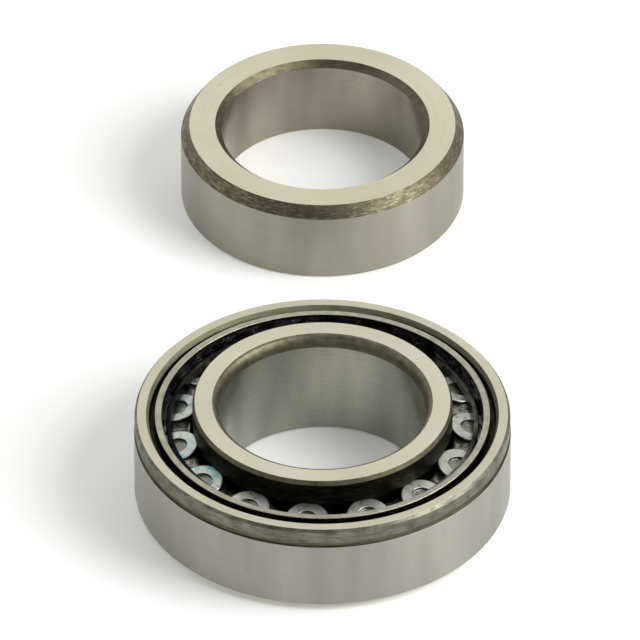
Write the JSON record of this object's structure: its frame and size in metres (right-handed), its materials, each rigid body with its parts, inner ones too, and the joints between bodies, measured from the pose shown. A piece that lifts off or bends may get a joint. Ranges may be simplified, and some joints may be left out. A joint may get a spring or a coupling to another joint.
{
  "type": "tapered roller bearing",
  "caption": "Unitised single-row tapered roller bearing with a separate press-on retaining ring, for carrying a driven axle shaft in its housing.",
  "frame": {"origin": "on the bearing axis, at the front face of the inner ring, which the bearing stands on", "axes": "+Z along the bearing axis towards the rollers' large ends and the rib ring; +Y towards the retaining ring lying beside the bearing; +X through the first roller"},
  "size_m": [0.073, 0.1606, 0.0225],
  "materials": {
    "outer_ring_steel": "ground outside with an unground band and bright faces",
    "rib_ring_steel": "bright turned edge, oiled wall",
    "inner_ring_steel": "ground bore and face, dark oiled rib",
    "roller_steel": "ground ends, oiled flanks",
    "cage_steel": "dark oiled pressed sheet",
    "retaining_ring_steel": "ground outside and bore, turned chamfers"
  },
  "bodies": {
    "outer_body": {"outer_ring": "outer_ring_steel", "rib_ring": "rib_ring_steel"},
    "inner_body": {"inner_ring": "inner_ring_steel"},
    "cage_body": {"roller_cage": "cage_steel"},
    "retainer_body": {"retaining_ring": "retaining_ring_steel"},
    "roller_01_body": {"roller_01": "roller_steel"},
    "roller_02_body": {"roller_02": "roller_steel"},
    "roller_03_body": {"roller_03": "roller_steel"},
    "roller_04_body": {"roller_04": "roller_steel"},
    "roller_05_body": {"roller_05": "roller_steel"},
    "roller_06_body": {"roller_06": "roller_steel"},
    "roller_07_body": {"roller_07": "roller_steel"},
    "roller_08_body": {"roller_08": "roller_steel"},
    "roller_09_body": {"roller_09": "roller_steel"},
    "roller_10_body": {"roller_10": "roller_steel"},
    "roller_11_body": {"roller_11": "roller_steel"},
    "roller_12_body": {"roller_12": "roller_steel"},
    "roller_13_body": {"roller_13": "roller_steel"},
    "roller_14_body": {"roller_14": "roller_steel"},
    "roller_15_body": {"roller_15": "roller_steel"}
  },
  "joints": [
    {"name": "inner_ring_spin", "type": "hinge", "parent": "outer_body", "child": "inner_body", "pos_m": [0, 0, 0.0112], "axis": [0, 0, 1], "continuous": true},
    {"name": "cage_spin", "type": "hinge", "parent": "outer_body", "child": "cage_body", "pos_m": [0, 0, 0.0103], "axis": [0, 0, 1], "continuous": true},
    {"name": "retaining_ring_lift", "type": "slide", "parent": "outer_body", "child": "retainer_body", "axis": [0, 0, 1], "range_m": [0, 0.06]},
    {"name": "roller_01_spin", "type": "hinge", "parent": "cage_body", "child": "roller_01_body", "pos_m": [0.0276, 0, 0.01019], "axis": [0.2079, 0, 0.9781], "continuous": true},
    {"name": "roller_02_spin", "type": "hinge", "parent": "cage_body", "child": "roller_02_body", "pos_m": [0.02521, 0.01123, 0.01019], "axis": [0.1899, 0.0846, 0.9781], "continuous": true},
    {"name": "roller_03_spin", "type": "hinge", "parent": "cage_body", "child": "roller_03_body", "pos_m": [0.01847, 0.02051, 0.01019], "axis": [0.1391, 0.1545, 0.9781], "continuous": true},
    {"name": "roller_04_spin", "type": "hinge", "parent": "cage_body", "child": "roller_04_body", "pos_m": [0.00853, 0.02625, 0.01019], "axis": [0.0642, 0.1977, 0.9781], "continuous": true},
    {"name": "roller_05_spin", "type": "hinge", "parent": "cage_body", "child": "roller_05_body", "pos_m": [-0.00289, 0.02745, 0.01019], "axis": [-0.0217, 0.2068, 0.9781], "continuous": true},
    {"name": "roller_06_spin", "type": "hinge", "parent": "cage_body", "child": "roller_06_body", "pos_m": [-0.0138, 0.0239, 0.01019], "axis": [-0.104, 0.1801, 0.9781], "continuous": true},
    {"name": "roller_07_spin", "type": "hinge", "parent": "cage_body", "child": "roller_07_body", "pos_m": [-0.02233, 0.01622, 0.01019], "axis": [-0.1682, 0.1222, 0.9781], "continuous": true},
    {"name": "roller_08_spin", "type": "hinge", "parent": "cage_body", "child": "roller_08_body", "pos_m": [-0.027, 0.00574, 0.01019], "axis": [-0.2034, 0.0432, 0.9781], "continuous": true},
    {"name": "roller_09_spin", "type": "hinge", "parent": "cage_body", "child": "roller_09_body", "pos_m": [-0.027, -0.00574, 0.01019], "axis": [-0.2034, -0.0432, 0.9781], "continuous": true},
    {"name": "roller_10_spin", "type": "hinge", "parent": "cage_body", "child": "roller_10_body", "pos_m": [-0.02233, -0.01622, 0.01019], "axis": [-0.1682, -0.1222, 0.9781], "continuous": true},
    {"name": "roller_11_spin", "type": "hinge", "parent": "cage_body", "child": "roller_11_body", "pos_m": [-0.0138, -0.0239, 0.01019], "axis": [-0.104, -0.1801, 0.9781], "continuous": true},
    {"name": "roller_12_spin", "type": "hinge", "parent": "cage_body", "child": "roller_12_body", "pos_m": [-0.00289, -0.02745, 0.01019], "axis": [-0.0217, -0.2068, 0.9781], "continuous": true},
    {"name": "roller_13_spin", "type": "hinge", "parent": "cage_body", "child": "roller_13_body", "pos_m": [0.00853, -0.02625, 0.01019], "axis": [0.0642, -0.1977, 0.9781], "continuous": true},
    {"name": "roller_14_spin", "type": "hinge", "parent": "cage_body", "child": "roller_14_body", "pos_m": [0.01847, -0.02051, 0.01019], "axis": [0.1391, -0.1545, 0.9781], "continuous": true},
    {"name": "roller_15_spin", "type": "hinge", "parent": "cage_body", "child": "roller_15_body", "pos_m": [0.02521, -0.01123, 0.01019], "axis": [0.1899, -0.0846, 0.9781], "continuous": true}
  ],
  "couplings": [
    {"joint": "cage_spin", "follows": "inner_ring_spin", "ratio": 0.42554},
    {"joint": "roller_01_spin", "follows": "inner_ring_spin", "ratio": -3.2113},
    {"joint": "roller_02_spin", "follows": "inner_ring_spin", "ratio": -3.2113},
    {"joint": "roller_03_spin", "follows": "inner_ring_spin", "ratio": -3.2113},
    {"joint": "roller_04_spin", "follows": "inner_ring_spin", "ratio": -3.2113},
    {"joint": "roller_05_spin", "follows": "inner_ring_spin", "ratio": -3.2113},
    {"joint": "roller_06_spin", "follows": "inner_ring_spin", "ratio": -3.2113},
    {"joint": "roller_07_spin", "follows": "inner_ring_spin", "ratio": -3.2113},
    {"joint": "roller_08_spin", "follows": "inner_ring_spin", "ratio": -3.2113},
    {"joint": "roller_09_spin", "follows": "inner_ring_spin", "ratio": -3.2113},
    {"joint": "roller_10_spin", "follows": "inner_ring_spin", "ratio": -3.2113},
    {"joint": "roller_11_spin", "follows": "inner_ring_spin", "ratio": -3.2113},
    {"joint": "roller_12_spin", "follows": "inner_ring_spin", "ratio": -3.2113},
    {"joint": "roller_13_spin", "follows": "inner_ring_spin", "ratio": -3.2113},
    {"joint": "roller_14_spin", "follows": "inner_ring_spin", "ratio": -3.2113},
    {"joint": "roller_15_spin", "follows": "inner_ring_spin", "ratio": -3.2113}
  ]
}
